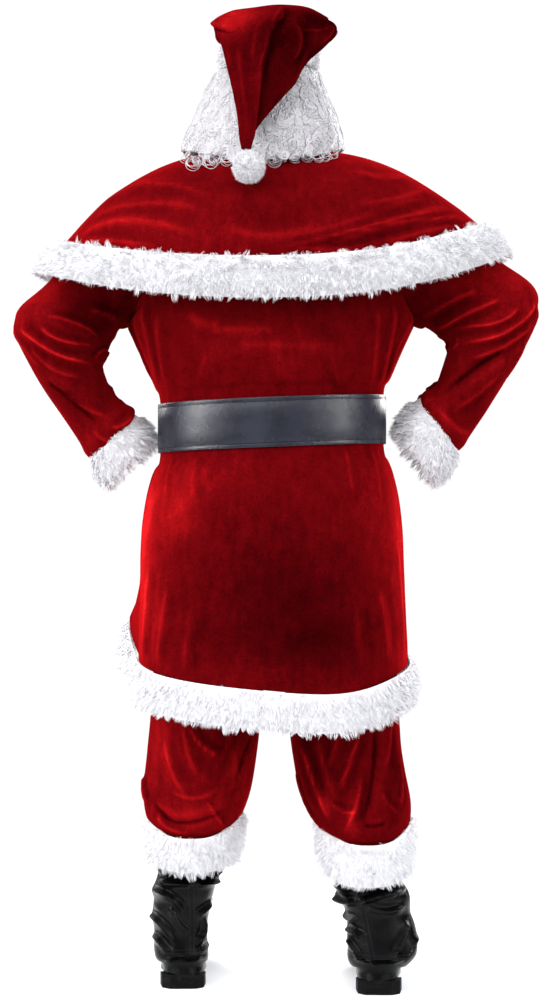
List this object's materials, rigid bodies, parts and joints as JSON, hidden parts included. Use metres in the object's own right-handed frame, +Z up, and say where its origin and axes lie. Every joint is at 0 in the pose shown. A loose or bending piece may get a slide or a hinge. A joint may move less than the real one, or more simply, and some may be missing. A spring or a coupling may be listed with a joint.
{
  "type": "santa suit",
  "caption": "Worn Santa suit, hands on hips, no wearer: red velvet hat, cape, belted coat and trousers with white fur trims, curly white wig and black boots.",
  "frame": {"origin": "the middle of the neck, 1.52 m above the soles, where the wearer's shoulders carry the suit", "axes": "+Z up, -Y the suit's front, +X the wearer's left"},
  "size_m": [0.9789, 0.5031, 1.832],
  "materials": {
    "velvet": "stretch panne velvet with a mottled nap",
    "plush": "long-pile white faux fur",
    "curls": "glossy white synthetic curls",
    "net": "matte elastic net",
    "leatherette": "glossy black faux leather",
    "gilt": "satin gold-coloured metal",
    "rubber": "matte black moulded sole"
  },
  "bodies": {
    "root": {"hat_crown": "velvet", "cape_cloth": "velvet", "coat_back": "velvet", "coat_front_left": "velvet", "coat_front_right": "velvet", "sleeve_left": "velvet", "sleeve_right": "velvet", "trousers_left": "velvet", "trousers_right": "velvet", "trousers_waistband": "velvet", "hat_band": "plush", "hat_pompom": "plush", "cape_trim": "plush", "coat_hem_trim": "plush", "cuff_left": "plush", "cuff_right": "plush", "leg_trim_left": "plush", "leg_trim_right": "plush", "wig_curls": "curls", "wig_cap": "net", "belt_strap": "leatherette", "boot_shaft_left": "leatherette", "boot_shaft_right": "leatherette", "boot_foot_left": "leatherette", "boot_foot_right": "leatherette", "belt_buckle": "gilt", "belt_pin": "gilt", "cape_clasp": "gilt", "boot_sole_left": "rubber", "boot_sole_right": "rubber"}
  },
  "joints": []
}
